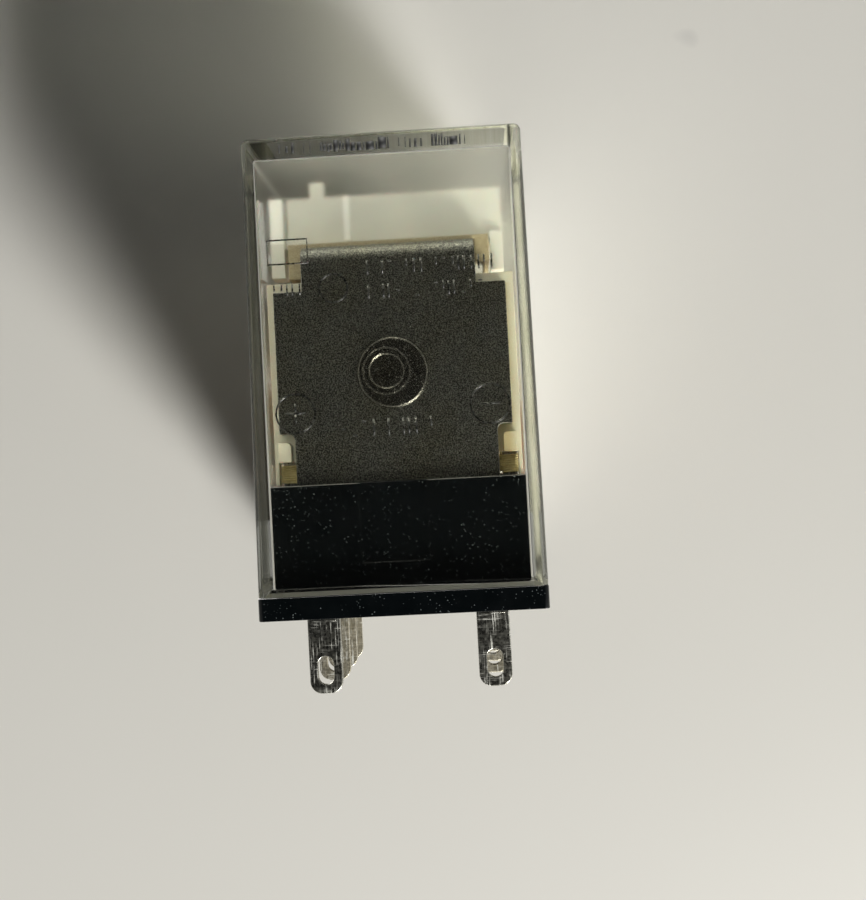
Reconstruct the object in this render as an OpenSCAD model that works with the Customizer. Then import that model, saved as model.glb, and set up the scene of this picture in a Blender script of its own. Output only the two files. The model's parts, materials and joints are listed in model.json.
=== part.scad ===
// Plug-in general-purpose relay with a clear cover, two changeover poles and eight blade terminals.
// Origin: centre of the base's seating plane. +Z up, blades point down, the coil end faces -Y.

/* [Body] */
// Width of the base flange
body_w = 21.5; // [20.5:0.1:23]
// Depth of the base flange, from the coil end to the contact end
body_d = 28; // [27:0.1:30]
// Height of the cover's top above the seating plane
body_h = 36; // [35.5:0.1:38]
// Thickness of the base flange
flange_h = 1.7; // [1.2:0.1:2]

/* [Cover] */
// How much each side of the cover leans in over its height
cover_draft = 0.27; // [0.1:0.01:0.4]
// Radius of the cover's outer edges
cover_edge_r = 0.5; // [0.3:0.05:0.7]
// Width of the cover's cavity
cavity_w = 19.36; // [19.2:0.02:19.5]
// Depth of the cover's cavity
cavity_d = 25.8; // [25.6:0.1:26]
// Height of the cavity's ceiling
cavity_top = 34.46; // [34.4:0.02:35]

/* [Blades] */
// Width of a blade
blade_w = 2.56; // [2.2:0.02:2.8]
// Thickness of a blade
blade_t = 0.5; // [0.4:0.05:0.6]
// Length of a blade below the seating plane
blade_len = 6.4; // [5:0.1:7]
// Distance between the two columns of blades
column_pitch = 13.2; // [13:0.1:13.4]
// Width of the solder eye in a blade
eye_w = 1.25; // [1:0.05:1.4]
// Length of the solder eye in a blade
eye_len = 2.2; // [1.8:0.1:2.6]
// Y place of the coil blades
coil_row = -8.9; // [-9:0.1:-8.8]
// Y place of the common blades
common_row = -3.3; // [-3.6:0.1:-3]
// Y place of the normally open blades
open_row = 2.1; // [1.9:0.1:2.4]
// Y place of the normally closed blades
closed_row = 7.1; // [6.9:0.1:7.2]

/* [Base block] */
// Height of the pedestal under the coil's front end
pedestal_top = 9.9; // [9.8:0.05:9.9]
// Height of the base's floor inside the cover
floor_top = 4.2; // [4:0.1:4.3]

/* [Magnet] */
// Thickness of the yoke's steel
yoke_t = 1.2; // [1:0.1:1.3]
// Y place of the yoke's front face
yoke_front = -11.9; // [-11.9:0.05:-11.8]
// Height of the yoke arm's upper face
arm_top = 28.1; // [28:0.05:28.1]
// Height of the coil's axis
coil_z = 18.05; // [18:0.05:18.1]
// Radius of the core
core_r = 3.3; // [3:0.1:3.3]
// Outer radius of the winding
winding_r = 7.3; // [6.5:0.1:7.3]

/* [Armature] */
// Angle that the armature swings from released to pulled in
stroke = 3; // [2:0.1:3]
// Half width of the armature
armature_half = 6.4; // [5.8:0.1:6.4]

/* [Contacts] */
// Radius of a contact button
contact_r = 1.3; // [1:0.1:1.4]
// Height of the contact buttons
contact_z = 9.7; // [9.5:0.1:9.8]
// Width of a moving contact spring
spring_w = 3; // [2.6:0.1:3]
// Thickness of a moving contact spring
spring_t = 0.25; // [0.2:0.05:0.3]

/* [Hidden] */
$fn = 48;

LEFT = -1;
RIGHT = 1;
tiny = 0.01;                            // overlap that keeps joined shapes one solid
gap = 0.04;                             // clearance between pieces that are pressed together
column_x = column_pitch / 2;
body_round = 0.4;                       // corner radius of the flange

// base
block_half = 9.58;
block_front = -12.6;
block_back = 12.7;
pedestal_back = -6.4;
recess_left = -2.95;                    // shallow panel in the pedestal's front face
recess_right = 2.15;
recess_bottom = 3.9;
recess_deep = 0.12;
step_top = 5.65;                        // shelf that carries the open terminals' jogs
step_front = 1.2;
step_back = 6.2;
rib_half = 0.6;                         // wall between the two poles
rib_top = 8;
latch_w = 2;
latch_z = 5;
latch_h = 1.6;
latch_out = 0.28;
latch_rows = [-7, 7];
groove_deep = 0.36;

coil_back = coil_row - blade_t / 2;      // the coil terminals' tags, beside the bobbin
tag_in = 7.98;
tag_out = 9.1;
tag_foot = pedestal_top + 0.15;
tag_top = 13;

// magnet
yoke_back = yoke_front + yoke_t;
arm_bottom = arm_top - yoke_t;
arm_half = 6.6;
arm_end = 7.2;
bend_r = 1.5;
plate_half = 8.8;
plate_low = 13.8;
plate_high = 24.55;
foot_half = 7.65;
foot_bottom = 7.5;
notch_r = 0.5;                          // fillet where the foot meets the plate
neck_r = 2.3;
head_r = 2.72;
head_h = 0.36;
punch_r = 1.32;                         // the riveting punch's mark, off the core's axis
punch_x = -0.45;
punch_z = 0.12;
punch_deep = 0.12;
pole_r = 4.6;
pole_t = 0.7;
pole_face = 7.15;
ear_in = 4.7;                           // the yoke's two ears that carry the armature
ear_out = 1.3;

// bobbin
flange_t = 1;
front_flange = yoke_back + 0.05;
rear_flange = 5.4;
front_half = 9.45;
front_low = pedestal_top + 0.05;
front_high = 25.4;
rear_half = 7.5;
rear_low = 10.4;
rear_high = 26;
barrel_r = 4;
tape_t = 0.12;
lug_low = 11.7;
lug_high = 13.2;
lug_in = foot_half + 0.4;
lug_out = 9.05;
lug_r = 0.35;
leg_in = front_half - 0.3;                // the flange's outer strip, which runs down past the coil tags

// armature, in the pulled-in position
hinge_y = arm_end;
hinge_z = arm_top;
plate_in = arm_end + 0.05;
plate_out = plate_in + yoke_t;
armature_low = 12.8;
horn_top = 29.2;
horn_in = 3.9;
centre_top = 27.9;
carrier_out = plate_out + 1.6;
carrier_low = 17.5;
carrier_high = 26;
carrier_half = 8.6;
spring_y = plate_out + 0.7;
contact_proud = 0.65;                   // how far a moving contact stands off each face of its spring
rivet_x = 2.6;
rivet_z = 24.2;

// fixed contacts
fixed_thick = 0.5;
travel = (hinge_z - contact_z) * sin(stroke);
open_face = spring_y - contact_proud - 0.04;
closed_face = spring_y + spring_t + contact_proud + travel + 0.05;
riser_top = 11.2;
open_riser = open_face - fixed_thick - blade_t;
closed_riser = closed_face + fixed_thick;
jog_z = step_top + 0.05;

// arc barrier
beam_front = -8.2;
beam_t = 1.2;
beam_low = 28.95;
beam_high = 32.5;
fin_half = 0.45;
fin_top = 32;

// flexible lead: hand-placed points from the common terminal to the moving spring, right-hand side
lead_r = 0.45;
lead_sides = 8;
LEAD_POINTS = [
  [7.6, -2.55, 8.3], [7.75, -1.9, 8.35], [8.1, -1.1, 8.5], [8.5, -0.2, 8.75], [8.7, 0.9, 9.1],
  [8.8, 2.1, 9.55], [8.85, 3.4, 10.1], [8.85, 4.7, 10.8], [8.85, 5.9, 11.65], [8.85, 7.0, 12.6],
  [8.85, 8.0, 13.6], [8.8, 8.9, 14.5], [8.65, 9.8, 15.2], [8.35, 10.5, 15.65], [7.95, 10.8, 15.85],
  [7.5, 10.85, 15.9]
];

module rounded_rect(w, d, r) {
  square([w - 2 * r, d], center = true);
  square([w, d - 2 * r], center = true);
  for (x = [-1, 1], y = [-1, 1])
    translate([x * (w / 2 - r), y * (d / 2 - r)]) circle(r);
}

// A box given by its low and high corners.
module box(low, high) {
  translate(low) cube(high - low);
}

// The same box on both sides of the X = 0 plane.
module box_pair(low, high) {
  box(low, high);
  mirror([1, 0, 0]) box(low, high);
}

// Puts shapes drawn for the right-hand side on the side asked for.
module on_side(side) {
  mirror([side < 0 ? 1 : 0, 0, 0]) children();
}

// A cylinder along +Y from y = from to y = to, centred on (x, z).
module rod_y(x, z, from, to, r) {
  translate([x, from, z]) rotate([-90, 0, 0]) cylinder(h = to - from, r = r);
}

// Swings the armature's pieces from pulled in to released.
module released() {
  translate([0, hinge_y, hinge_z]) rotate([stroke, 0, 0]) translate([0, -hinge_y, -hinge_z]) children();
}

// Blade outline in the XZ plane, drawn with its tip down and its top at z = high.
module blade_outline(high) {
  tip_r = 0.95;
  eye_r = eye_w / 2;
  eye_mid = -blade_len + 1.78;
  difference() {
    union() {
      translate([-blade_w / 2, -blade_len + tip_r]) square([blade_w, high + blade_len - tip_r]);
      translate([-blade_w / 2 + tip_r, -blade_len]) square([blade_w - 2 * tip_r, tip_r + tiny]);
      for (x = [-1, 1]) translate([x * (blade_w / 2 - tip_r), -blade_len + tip_r]) circle(tip_r);
    }
    for (z = [-1, 1]) translate([0, eye_mid + z * (eye_len / 2 - eye_r)]) circle(eye_r, $fn = 32);
    translate([-eye_r, eye_mid - eye_len / 2 + eye_r]) square([eye_w, eye_len - 2 * eye_r]);
  }
}

// A blade that stands in the base, centred on column x and row y, up to height high.
module blade(side, row, high) {
  translate([side * column_x, row + blade_t / 2, 0])
    rotate([90, 0, 0]) linear_extrude(blade_t) blade_outline(high);
}

module base() {
  color([0.06, 0.065, 0.07]) difference() {
    union() {
      linear_extrude(flange_h) rounded_rect(body_w, body_d, body_round);
      box([-block_half, block_front, flange_h - tiny], [block_half, block_back, floor_top]);
      box([-block_half, block_front, floor_top - tiny], [block_half, pedestal_back, pedestal_top]);
      box_pair([3, step_front, floor_top - tiny], [block_half, step_back, step_top]);
      box([-rib_half, step_front, floor_top - tiny], [rib_half, block_back, rib_top]);
      for (y = latch_rows) box_pair(
        [block_half - tiny, y - latch_w / 2, latch_z],
        [block_half + latch_out, y + latch_w / 2, latch_z + latch_h]
      );
      // the latch ledges stand on their own cheeks beside the open floor
      for (y = latch_rows) box_pair(
        [block_half - 1, y - latch_w / 2, floor_top - tiny], [block_half, y + latch_w / 2, latch_z + latch_h]
      );
    }
    // seat for the yoke's foot
    box([-foot_half - gap, yoke_front - gap, foot_bottom - gap],
        [foot_half + gap, yoke_back + gap, pedestal_top + 1]);
    // shallow panel in the front face
    box([recess_left, block_front - 1, recess_bottom],
        [recess_right, block_front + recess_deep, pedestal_top + 1]);
    // blade slots
    for (x = [LEFT, RIGHT], y = [coil_row, common_row, open_row, closed_row])
      box([x * column_x - blade_w / 2 - gap, y - blade_t / 2 - gap, -1],
          [x * column_x + blade_w / 2 + gap, y + blade_t / 2 + gap, pedestal_top + 1]);
    // hollow under the coil's middle, and the mould's cores in the underside
    box([-5, coil_row + 1, floor_top + 1.2], [5, pedestal_back + 1, pedestal_top + 1]);
    box([-4.2, -11, -1], [4.2, -1, 0.5]);
    box([-4.2, 1, -1], [4.2, 11, 0.5]);
  }
}

module cover() {
  base_z = flange_h + 0.03;
  ball = cover_edge_r;
  lead_in = 0.6;
  color([0.85, 0.87, 0.82, 0.35]) difference() {
    hull() {
      translate([0, 0, base_z]) linear_extrude(0.1) rounded_rect(body_w - 0.04, body_d - 0.04, cover_edge_r);
      for (x = [-1, 1], y = [-1, 1]) translate([
        x * (body_w / 2 - cover_draft - ball), y * (body_d / 2 - cover_draft - ball), body_h - ball
      ]) sphere(ball, $fn = 32);
    }
    translate([0, 0, base_z - 1]) linear_extrude(cavity_top - base_z + 1) rounded_rect(cavity_w, cavity_d, 0.3);
    // chamfer inside the rim
    hull() {
      translate([0, 0, base_z - tiny]) linear_extrude(tiny)
        rounded_rect(cavity_w + 2 * lead_in, cavity_d + 2 * lead_in, 0.3);
      translate([0, 0, base_z + lead_in]) linear_extrude(tiny) rounded_rect(cavity_w, cavity_d, 0.3);
    }
    for (y = latch_rows) box_pair(
      [cavity_w / 2 - 0.5, y - latch_w / 2 - 0.15, 0],
      [cavity_w / 2 + groove_deep, y + latch_w / 2 + 0.15, latch_z + latch_h + 0.3]
    );
  }
}

// Coil blade with the tag beside the bobbin that the wire end is wrapped on.
module coil_terminal(side) {
  color([0.75, 0.75, 0.72]) {
    blade(side, coil_row, pedestal_top);
    on_side(side) {
      box([column_x - blade_w / 2, coil_back, pedestal_top - tiny], [tag_out, coil_back + blade_t, tag_foot]);
      box([tag_in, coil_back, pedestal_top], [tag_out, coil_back + blade_t, tag_top]);
    }
  }
}

// Common blade: its top carries the flexible lead.
module common_terminal(side) {
  color([0.75, 0.75, 0.72]) blade(side, common_row, 9.2);
}

// Strip that leaves a blade at height z, runs back to riser and goes up to the contact.
module jogged_strip(side, row, z, riser) {
  x = side * column_x;
  blade(side, row, z + blade_t);
  box([x - blade_w / 2, row - blade_t / 2, z], [x + blade_w / 2, riser + blade_t, z + blade_t]);
  box([x - blade_w / 2, riser, z], [x + blade_w / 2, riser + blade_t, riser_top]);
}

module open_terminal(side) {
  color([0.75, 0.75, 0.72]) jogged_strip(side, open_row, jog_z, open_riser);
}

module closed_terminal(side) {
  color([0.75, 0.75, 0.72]) jogged_strip(side, closed_row, floor_top + gap, closed_riser);
}

// Button with a slightly domed face, axis along +Y, its flat back at y = 0.
module contact_button(h) {
  dome = 0.15;
  dome_r = (contact_r * contact_r + dome * dome) / (2 * dome);
  rotate([-90, 0, 0]) intersection() {
    cylinder(h = h, r = contact_r);
    translate([0, 0, h - dome_r]) sphere(dome_r, $fn = 96);
  }
}

module open_contact(side) {
  color([0.86, 0.86, 0.84])
    translate([side * column_x, open_riser + blade_t, contact_z]) contact_button(fixed_thick);
}

module closed_contact(side) {
  color([0.86, 0.86, 0.84])
    translate([side * column_x, closed_riser, contact_z]) mirror([0, 1, 0]) contact_button(fixed_thick);
}

// Front plate of the yoke in the XZ plane.
module yoke_plate_outline() {
  translate([-plate_half, plate_low]) square([2 * plate_half, plate_high - plate_low]);
  translate([-foot_half, foot_bottom]) square([2 * foot_half, plate_low - foot_bottom + tiny]);
  translate([-arm_half, plate_high - tiny]) square([2 * arm_half, arm_top - bend_r - plate_high + 2 * tiny]);
  for (side = [LEFT, RIGHT]) on_side(side) difference() {
    translate([foot_half - tiny, plate_low - notch_r]) square(notch_r + tiny);
    translate([foot_half + notch_r, plate_low - notch_r]) circle(notch_r);
  }
}

module yoke() {
  color([0.36, 0.35, 0.31]) difference() {
    union() {
      translate([0, yoke_back, 0]) rotate([90, 0, 0]) linear_extrude(yoke_t) yoke_plate_outline();
      // rounded bend between the plate and the arm
      intersection() {
        translate([-arm_half, yoke_front + bend_r, arm_top - bend_r])
          rotate([0, 90, 0]) cylinder(h = 2 * arm_half, r = bend_r);
        box([-arm_half, yoke_front, arm_top - bend_r - tiny],
            [arm_half, yoke_front + bend_r + tiny, arm_top]);
      }
      box([-arm_half, yoke_front + bend_r, arm_bottom], [arm_half, arm_end, arm_top]);
      box_pair([ear_in, arm_end - tiny, arm_bottom], [arm_half - 0.3, arm_end + ear_out, arm_top]);
    }
    rod_y(0, coil_z, yoke_front - 1, yoke_back + 1, neck_r + gap);
    for (x = [-1, 1]) translate([x * 2, 3.4, arm_bottom - 1]) cylinder(h = yoke_t + 2, r = 0.6 + gap);
  }
}

// Core: neck riveted through the yoke, barrel and pole disc.
module core() {
  color([0.42, 0.41, 0.38]) difference() {
    union() {
      rod_y(0, coil_z, yoke_front - head_h, yoke_back + 2 * gap, neck_r);
      rod_y(0, coil_z, yoke_front - head_h, yoke_front - gap, head_r);
      rod_y(0, coil_z, yoke_back + gap, pole_face - pole_t + tiny, core_r);
      rod_y(0, coil_z, pole_face - pole_t, pole_face, pole_r);
    }
    rod_y(punch_x, coil_z + punch_z, yoke_front - head_h - 1, yoke_front - head_h + punch_deep, punch_r);
  }
}

module bobbin() {
  tube_end = rear_flange + flange_t;
  lug_front = yoke_front + 0.5;
  color([0.86, 0.84, 0.72]) difference() {
    union() {
      box([-front_half, front_flange, front_low], [front_half, front_flange + flange_t, front_high]);
      box([-rear_half, rear_flange, rear_low], [rear_half, tube_end, rear_high]);
      rod_y(0, coil_z, front_flange, tube_end, barrel_r);
      // lugs in the yoke's notches, each with one rounded corner
      box_pair([lug_in, lug_front, lug_low], [lug_out, front_flange + tiny, lug_high - lug_r]);
      box_pair([lug_in + lug_r, lug_front, lug_low], [lug_out, front_flange + tiny, lug_high]);
      for (side = [LEFT, RIGHT]) {
        rod_y(side * (lug_in + lug_r), lug_high - lug_r, lug_front, front_flange + tiny, lug_r);
      }
    }
    rod_y(0, coil_z, front_flange - 1, tube_end + 1, core_r + gap);
    // corners that leave the coil tags open to the front
    box_pair([foot_half - 0.2, front_flange - 1, 0], [leg_in, front_flange + 1.5, lug_low]);
    box_pair([foot_half - 0.2, front_flange + 0.45, 0], [leg_in, front_flange + 1.5, lug_high + 0.6]);
  }
}

module coil_winding() {
  from = front_flange + flange_t + 0.02;
  to = rear_flange - 0.02;
  color([0.62, 0.28, 0.12]) difference() {
    rod_y(0, coil_z, from, to, winding_r);
    rod_y(0, coil_z, from - 1, to + 1, barrel_r + 0.02);
  }
}

module coil_tape() {
  from = front_flange + flange_t + 0.12;
  to = rear_flange - 0.12;
  color([0.72, 0.5, 0.2]) difference() {
    rod_y(0, coil_z, from, to, winding_r + 0.02 + tape_t);
    rod_y(0, coil_z, from - 1, to + 1, winding_r + 0.02);
  }
}

// Wire end wrapped in close turns round the coil terminal's tag, as one sleeve.
module coil_lead(side) {
  wire_d = 0.2;
  wrap_h = 1.58;
  play = gap / 2;
  color([0.6, 0.36, 0.12]) on_side(side) translate([0, 0, tag_foot + play]) difference() {
    box([tag_in - wire_d, coil_back - wire_d, 0], [tag_out + wire_d, coil_back + blade_t + wire_d, wrap_h]);
    box([tag_in - play, coil_back - play, -1], [tag_out + play, coil_back + blade_t + play, wrap_h + 1]);
  }
}

// Brown channel over the yoke's arm, with a flap down each side at the front.
module insulator() {
  sheet = 0.35;
  half = 7.75;
  from = -10.2;
  to = 0.8;
  low = arm_top + 0.04;
  flap_low = [25.8, 26.4];
  color([0.45, 0.33, 0.16]) {
    box([-half, from, low], [half, to, low + sheet]);
    for (k = [0, 1]) mirror([1 - k, 0, 0]) {
      box([half - sheet, from, flap_low[k]], [half, to, low + tiny]);
      box([arm_half + 0.06, from, flap_low[k]], [half, from + sheet, low + tiny]);
    }
  }
}

// White moulding over the yoke: a beam across the front and a fin between the two poles.
module arc_barrier() {
  plate_low_z = arm_top + 0.44;
  plate_high_z = plate_low_z + 0.65;
  fin_back = 12.5;
  color([0.88, 0.88, 0.84]) {
    box([-8, beam_front, beam_low], [8.9, beam_front + beam_t, beam_high]);
    box([-8.9, beam_front, plate_low_z], [8.9, 0.8, plate_high_z]);
    // rib and tab on the beam
    box([-3.5, beam_front - 0.2, beam_low], [-3, beam_front + tiny, beam_high]);
    box([-6.1, beam_front, beam_high - tiny], [-5.05, beam_front + beam_t, beam_high + 1.2]);
    // posts beside the yoke
    box([-9.3, beam_front - 0.6, 26.2], [-8.25, beam_front + 1.4, beam_high - 0.1]);
    box([-8.9, beam_front + 0.1, plate_low_z], [-8, beam_front + 1.4, plate_high_z + 0.4]);
    box([7.9, beam_front - 0.4, 26], [8.9, beam_front + 1.4, beam_low + tiny]);
    // fin
    box([-fin_half, beam_front + tiny, plate_low_z], [fin_half, 0.8 + tiny, fin_top]);
    box([-fin_half, 0.8, horn_top + 0.3], [fin_half, fin_back, fin_top]);
    box([-fin_half, 11.2, rib_top + 0.3], [fin_half, fin_back, fin_top - tiny]);
  }
}

// Leaf that is riveted to the yoke's arm and bears on the back of the armature.
module hinge_spring() {
  leaf = 0.2;
  half = 3.2;
  low = arm_top + 0.04;
  back = plate_out + 0.2;
  color([0.7, 0.7, 0.68]) difference() {
    union() {
      box([-half, 1.6, low], [half, back + leaf, low + leaf]);
      box([-half, back, 26.5], [half, back + leaf, low + tiny]);
    }
    for (x = [-1, 1]) translate([x * 2, 3.4, low - 1]) cylinder(h = 3, r = 0.6 + gap);
  }
}

module hinge_rivets() {
  color([0.7, 0.7, 0.68]) for (x = [-1, 1]) translate([x * 2, 3.4, 0]) {
    translate([0, 0, arm_bottom]) cylinder(h = yoke_t + 0.3, r = 0.6);
    translate([0, 0, arm_top + 0.24 + gap]) cylinder(h = 0.35, r = 1);
  }
}

// Armature outline in the XZ plane: horns at the top reach over the yoke's ears.
module armature_outline() {
  difference() {
    translate([-armature_half, armature_low]) square([2 * armature_half, horn_top - armature_low]);
    translate([-horn_in, centre_top]) square([2 * horn_in, 10]);
    for (x = [-1, 1]) translate([x * (ear_in + 3 - 0.15), arm_bottom + yoke_t / 2])
      square([6, yoke_t + 0.32], center = true);
  }
}

module armature() {
  color([0.45, 0.44, 0.41]) released() difference() {
    translate([0, plate_out, 0]) rotate([90, 0, 0]) linear_extrude(yoke_t) armature_outline();
    for (x = [-1, 1]) rod_y(x * rivet_x, rivet_z, plate_in - 1, plate_out + 1, 0.6 + gap);
  }
}

// White block moulded round the moving springs and riveted to the armature.
module carrier() {
  color([0.88, 0.88, 0.84]) released() difference() {
    union() {
      box([-carrier_half, plate_out + gap, carrier_low], [carrier_half, carrier_out, carrier_high]);
      box_pair([5, plate_out + gap, carrier_low - 0.8], [carrier_half - 0.4, carrier_out - 0.3, carrier_low + tiny]);
    }
    for (x = [-1, 1]) rod_y(x * rivet_x, rivet_z, plate_out - 1, carrier_out + 1, 0.6 + gap);
    for (x = [LEFT, RIGHT])
      box([x * column_x - spring_w / 2 - tiny, spring_y - tiny, carrier_low - 2],
          [x * column_x + spring_w / 2 + tiny, spring_y + spring_t + tiny, carrier_high - 1]);
  }
}

module armature_rivets() {
  color([0.7, 0.7, 0.68]) released() for (x = [-1, 1]) {
    rod_y(x * rivet_x, rivet_z, plate_in, carrier_out + 0.05, 0.6);
    rod_y(x * rivet_x, rivet_z, carrier_out + 0.02, carrier_out + 0.4, 1.05);
  }
}

module moving_spring(side) {
  x = side * column_x;
  color([0.78, 0.56, 0.3]) released() difference() {
    box([x - spring_w / 2, spring_y, 8.2], [x + spring_w / 2, spring_y + spring_t, carrier_high - 1 - tiny]);
    rod_y(x, contact_z, spring_y - 1, spring_y + 1, 0.5 + tiny);
  }
}

// Double-faced contact, riveted through its spring.
module moving_contact(side) {
  color([0.86, 0.86, 0.84]) released() translate([side * column_x, 0, contact_z]) {
    translate([0, spring_y + spring_t, 0]) contact_button(contact_proud);
    translate([0, spring_y, 0]) mirror([0, 1, 0]) contact_button(contact_proud);
    rod_y(0, 0, spring_y - tiny, spring_y + spring_t + tiny, 0.5);
  }
}

// Unit vector along a to b.
function unit(v) = v / norm(v);

// Direction of the path at point k.
function heading(p, k) = unit(p[min(k + 1, len(p) - 1)] - p[max(k - 1, 0)]);

// Tube of radius r swept along the points p.
module tube(p, r, sides) {
  rings = len(p);
  skin = [
    for (k = [0 : rings - 1])
      let (t = heading(p, k), u = unit(cross(t, [0, 0, 1])), v = cross(u, t))
        for (s = [0 : sides - 1])
          let (a = 360 * s / sides) p[k] + r * (cos(a) * u + sin(a) * v)
  ];
  walls = [
    for (k = [0 : rings - 2], s = [0 : sides - 1])
      let (n = (s + 1) % sides) [k * sides + s, k * sides + n, (k + 1) * sides + n, (k + 1) * sides + s]
  ];
  first = [for (s = [sides - 1 : -1 : 0]) s];
  last = [for (s = [0 : sides - 1]) (rings - 1) * sides + s];
  polyhedron(points = skin, faces = concat([first], walls, [last]), convexity = 6);
}

module flex_lead(side) {
  color([0.72, 0.4, 0.22]) on_side(side) tube(LEAD_POINTS, lead_r, lead_sides);
}

base();
cover();
coil_terminal(LEFT);  // coil_terminal_left
coil_terminal(RIGHT);  // coil_terminal_right
common_terminal(LEFT);  // common_terminal_left
common_terminal(RIGHT);  // common_terminal_right
open_terminal(LEFT);  // open_terminal_left
open_terminal(RIGHT);  // open_terminal_right
closed_terminal(LEFT);  // closed_terminal_left
closed_terminal(RIGHT);  // closed_terminal_right
open_contact(LEFT);  // open_contact_left
open_contact(RIGHT);  // open_contact_right
closed_contact(LEFT);  // closed_contact_left
closed_contact(RIGHT);  // closed_contact_right
yoke();
core();
bobbin();
coil_winding();
coil_tape();
coil_lead(LEFT);  // coil_lead_left
coil_lead(RIGHT);  // coil_lead_right
insulator();
arc_barrier();
hinge_spring();
hinge_rivets();
armature();
carrier();
armature_rivets();
moving_spring(LEFT);  // moving_spring_left
moving_spring(RIGHT);  // moving_spring_right
moving_contact(LEFT);  // moving_contact_left
moving_contact(RIGHT);  // moving_contact_right
flex_lead(LEFT);  // flex_lead_left
flex_lead(RIGHT);  // flex_lead_right
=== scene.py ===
"""Looks of the plug-in control relay: a clear cover over a coil, an armature and contacts.

Lengths are in metres in the CAD frame: +Z up out of the seating plane, the coil end faces -Y.
"""

import json
import math
import random

import bmesh
import bpy
from mathutils import Matrix, Vector


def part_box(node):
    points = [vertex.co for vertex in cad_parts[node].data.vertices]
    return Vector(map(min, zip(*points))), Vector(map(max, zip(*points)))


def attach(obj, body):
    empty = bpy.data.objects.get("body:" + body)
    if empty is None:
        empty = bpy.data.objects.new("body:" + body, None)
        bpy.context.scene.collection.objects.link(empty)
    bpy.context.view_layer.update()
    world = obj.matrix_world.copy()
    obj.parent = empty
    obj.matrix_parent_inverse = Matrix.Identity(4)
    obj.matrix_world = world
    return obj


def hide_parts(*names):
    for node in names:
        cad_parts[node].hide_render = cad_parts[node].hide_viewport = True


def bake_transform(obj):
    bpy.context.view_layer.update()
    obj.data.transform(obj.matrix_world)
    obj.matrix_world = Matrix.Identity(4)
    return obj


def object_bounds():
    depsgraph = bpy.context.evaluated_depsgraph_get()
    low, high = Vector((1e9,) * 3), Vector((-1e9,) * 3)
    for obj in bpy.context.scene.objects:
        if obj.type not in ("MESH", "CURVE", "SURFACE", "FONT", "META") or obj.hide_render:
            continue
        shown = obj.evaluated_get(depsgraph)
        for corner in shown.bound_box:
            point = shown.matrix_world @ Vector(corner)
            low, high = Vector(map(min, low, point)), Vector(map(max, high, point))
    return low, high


MM = 0.001
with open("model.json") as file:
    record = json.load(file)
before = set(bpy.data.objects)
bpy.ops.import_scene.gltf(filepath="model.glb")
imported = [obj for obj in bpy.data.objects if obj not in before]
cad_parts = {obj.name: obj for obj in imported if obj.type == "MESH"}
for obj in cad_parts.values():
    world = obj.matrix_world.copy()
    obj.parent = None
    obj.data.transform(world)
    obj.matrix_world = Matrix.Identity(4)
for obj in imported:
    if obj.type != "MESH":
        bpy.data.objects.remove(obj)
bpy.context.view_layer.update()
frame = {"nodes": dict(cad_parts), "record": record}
RECORD = frame["record"]
BODY_OF = {n: b for b, names in RECORD["behaviour"]["bodies"].items() for n in names}
SLOT_OF = {s["node"]: s["material_slot"] for s in RECORD["subparts"]}
SIDES = (("left", -1), ("right", 1))

COLUMN_X = 6.6 * MM
COIL_Z = 18.05 * MM
COIL_BARREL_R = 4.02 * MM
COIL_OUT_R = 7.3 * MM
LOW_COVER, HIGH_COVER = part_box("cover")
CAVITY_HALF = Vector((9.68, 12.9)) * MM
CAVITY_TOP = 34.46 * MM

PALE_PIECES = bpy.data.collections.new("pale_pieces")     # pale mouldings and wire ends, for one lamp
SOLID_PIECES = bpy.data.collections.new("solid_pieces")   # all but the clear shell, for two lamps


# ---------------------------------------------------------------- camera, lights and stage


def add_camera():
    """The photograph's view: close to the coil end, a little right of centre and below mid-height."""
    place = Vector((5.36, -94.37, 10.48)) * MM
    aim = Vector((2.775, -14.0, 12.025)) * MM
    roll = math.radians(2.98)
    data = bpy.data.cameras.new("camera")
    data.sensor_fit = "HORIZONTAL"
    data.sensor_width = 36
    data.lens = 45.48
    data.clip_start = 0.005
    data.clip_end = 20
    camera = bpy.data.objects.new("camera", data)
    turn = (aim - place).to_track_quat("-Z", "Y").to_matrix().to_4x4()
    camera.matrix_world = Matrix.Translation(place) @ turn @ Matrix.Rotation(-roll, 4, "Z")
    bpy.context.scene.collection.objects.link(camera)
    bpy.context.scene.camera = camera


def add_area(name, place, target, size, power, colour):
    """A soft rectangular lamp that faces the target."""
    data = bpy.data.lights.new(name, "AREA")
    data.shape = "RECTANGLE"
    data.size, data.size_y = size
    data.energy = power
    data.color = colour
    lamp = bpy.data.objects.new(name, data)
    lamp.location = place
    lamp.rotation_euler = (Vector(target) - Vector(place)).to_track_quat("-Z", "Y").to_euler()
    bpy.context.scene.collection.objects.link(lamp)
    return lamp


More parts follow.
